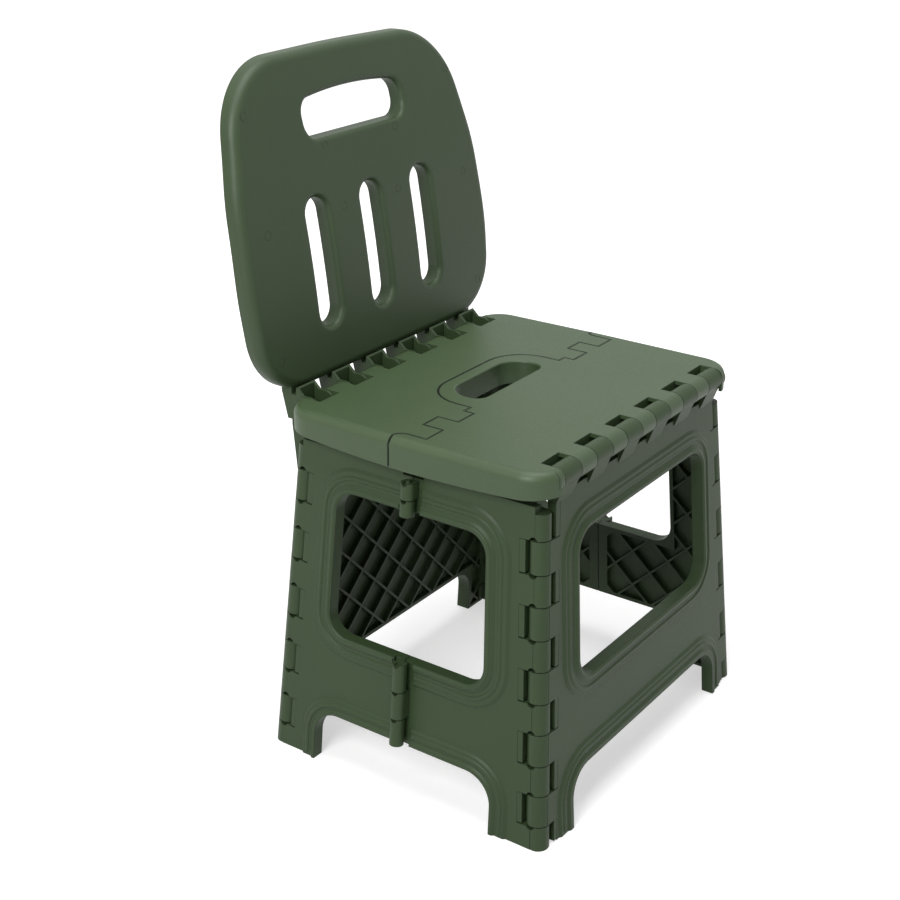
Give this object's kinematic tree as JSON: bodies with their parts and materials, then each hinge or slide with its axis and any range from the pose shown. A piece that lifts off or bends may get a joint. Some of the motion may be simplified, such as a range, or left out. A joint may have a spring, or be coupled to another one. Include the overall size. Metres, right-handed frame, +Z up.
{
  "type": "folding step stool",
  "caption": "Folding plastic step stool with a fixed backrest: leaning panels hinged at the corners, sides that fold inwards and a seat that folds up round its carry handle.",
  "frame": {"origin": "on the floor, midway between the feet and under the middle of the seat", "axes": "+Z up, -Y to the front, where a sitting person faces, +X to that person's left"},
  "size_m": [0.3596, 0.3431, 0.5882],
  "materials": {
    "moulding": "satin, fine moulded texture"
  },
  "bodies": {
    "rear_frame": {"rear_panel": "moulding", "backrest": "moulding"},
    "seat_rear": {"seat_rear": "moulding"},
    "seat_front": {"seat_front": "moulding"},
    "front_panel": {"front_panel": "moulding"},
    "left_side_rear": {"left_side_rear": "moulding"},
    "left_side_front": {"left_side_front": "moulding"},
    "right_side_rear": {"right_side_rear": "moulding"},
    "right_side_front": {"right_side_front": "moulding"}
  },
  "joints": [
    {"name": "seat_lift", "type": "hinge", "parent": "rear_frame", "child": "seat_rear", "pos_m": [0, 0.1203, 0.3105], "axis": [-1, 0, 0], "range_deg": [0, 81]},
    {"name": "seat_fold", "type": "hinge", "parent": "seat_rear", "child": "seat_front", "pos_m": [0, 0, 0.2935], "axis": [1, 0, 0], "range_deg": [0, 165.7]},
    {"name": "left_rear_corner", "type": "hinge", "parent": "rear_frame", "child": "left_side_rear", "pos_m": [-0.1609, 0.1329, 0], "axis": [0.08, -0.0661, 0.9946], "range_deg": [0, 85.3]},
    {"name": "left_side_fold", "type": "hinge", "parent": "left_side_rear", "child": "left_side_front", "pos_m": [-0.1784, 0, 0], "axis": [-0.0888, 0, -0.996], "range_deg": [0, 169.9]},
    {"name": "left_front_corner", "type": "hinge", "parent": "left_side_front", "child": "front_panel", "pos_m": [-0.1609, -0.1329, 0], "axis": [0.08, 0.0661, 0.9946], "range_deg": [0, 85.3]},
    {"name": "right_rear_corner", "type": "hinge", "parent": "rear_frame", "child": "right_side_rear", "pos_m": [0.1609, 0.1329, 0], "axis": [0.08, 0.0661, -0.9946], "range_deg": [0, 85.3]},
    {"name": "right_side_fold", "type": "hinge", "parent": "right_side_rear", "child": "right_side_front", "pos_m": [0.1784, 0, 0], "axis": [-0.0888, 0, 0.996], "range_deg": [0, 169.9]}
  ],
  "couplings": [
    {"joint": "seat_fold", "follows": "seat_lift", "ratio": 2.0434},
    {"joint": "left_rear_corner", "follows": "seat_lift", "ratio": 1.051},
    {"joint": "left_side_fold", "follows": "seat_lift", "ratio": 2.0954},
    {"joint": "left_front_corner", "follows": "seat_lift", "ratio": 1.0511},
    {"joint": "right_rear_corner", "follows": "seat_lift", "ratio": 1.051},
    {"joint": "right_side_fold", "follows": "seat_lift", "ratio": 2.0954}
  ]
}
